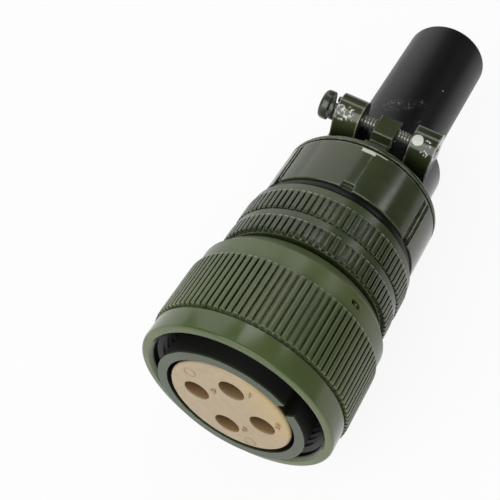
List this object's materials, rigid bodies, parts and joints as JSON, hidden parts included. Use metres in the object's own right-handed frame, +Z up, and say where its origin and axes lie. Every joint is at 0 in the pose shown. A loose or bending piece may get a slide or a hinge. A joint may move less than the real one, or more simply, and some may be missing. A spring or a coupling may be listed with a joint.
{
  "type": "aviation plug connector",
  "caption": "Round military-style cable plug lying on its side: threaded coupling nut, keyed shell with socket holes, toothed backshell and a two-saddle clamp on a rubber bushing.",
  "frame": {"origin": "centre of the coupling nut's front rim, on the plug's axis", "axes": "+X along the plug's axis from the mating end to the cable end; +Z up, towards the upper clamp post; +Y across, towards saddle A and the head of clamp screw A"},
  "size_m": [0.1068, 0.0404, 0.0404],
  "materials": {
    "nut_paint": "glossy olive green",
    "shell_paint": "glossy olive green",
    "insert_plastic": "satin tan moulding",
    "contact_silver": "silver-plated brass",
    "washer_metal": "plain",
    "spring_steel": "plain",
    "backshell_paint": "glossy olive green",
    "seal_rubber": "satin black",
    "clamp_paint": "glossy olive green, chipped",
    "bushing_rubber": "satin black, dusty",
    "saddle_paint": "glossy olive green, chipped",
    "screw_steel": "olive-plated steel"
  },
  "bodies": {
    "plug": {"front_shell": "shell_paint", "front_insert": "insert_plastic", "rear_insert": "insert_plastic", "socket_contact_1": "contact_silver", "socket_contact_2": "contact_silver", "socket_contact_3": "contact_silver", "socket_contact_4": "contact_silver", "insert_washer": "washer_metal", "insert_retaining_ring": "spring_steel", "backshell": "backshell_paint", "sealing_ring": "seal_rubber", "clamp_body": "clamp_paint", "gland_washer": "washer_metal", "rubber_bushing": "bushing_rubber"},
    "nut": {"coupling_nut": "nut_paint", "nut_retaining_ring": "spring_steel"},
    "saddle_a": {"saddle_a": "saddle_paint", "lock_washer_a": "spring_steel"},
    "saddle_b": {"saddle_b": "saddle_paint", "lock_washer_b": "spring_steel"},
    "screw_a": {"clamp_screw_a": "screw_steel"},
    "screw_b": {"clamp_screw_b": "screw_steel"}
  },
  "joints": [
    {"name": "nut_turn", "type": "hinge", "parent": "plug", "child": "nut", "pos_m": [0, 0, 0], "axis": [1, 0, 0], "continuous": true},
    {"name": "saddle_a_slide", "type": "slide", "parent": "plug", "child": "saddle_a", "axis": [0, 1, 0], "range_m": [0, 0.0022]},
    {"name": "saddle_b_slide", "type": "slide", "parent": "plug", "child": "saddle_b", "axis": [0, -1, 0], "range_m": [0, 0.0022]},
    {"name": "screw_a_turn", "type": "hinge", "parent": "saddle_a", "child": "screw_a", "pos_m": [0.06325, 0, 0.013], "axis": [0, 1, 0], "range_deg": [0, 2495]},
    {"name": "screw_b_turn", "type": "hinge", "parent": "saddle_b", "child": "screw_b", "pos_m": [0.06325, 0, -0.013], "axis": [0, -1, 0], "range_deg": [0, 2495]}
  ],
  "couplings": [
    {"joint": "saddle_b_slide", "follows": "saddle_a_slide", "ratio": 1},
    {"joint": "screw_a_turn", "follows": "saddle_a_slide", "rad_per_m": 19789},
    {"joint": "screw_b_turn", "follows": "saddle_a_slide", "rad_per_m": 19789}
  ]
}
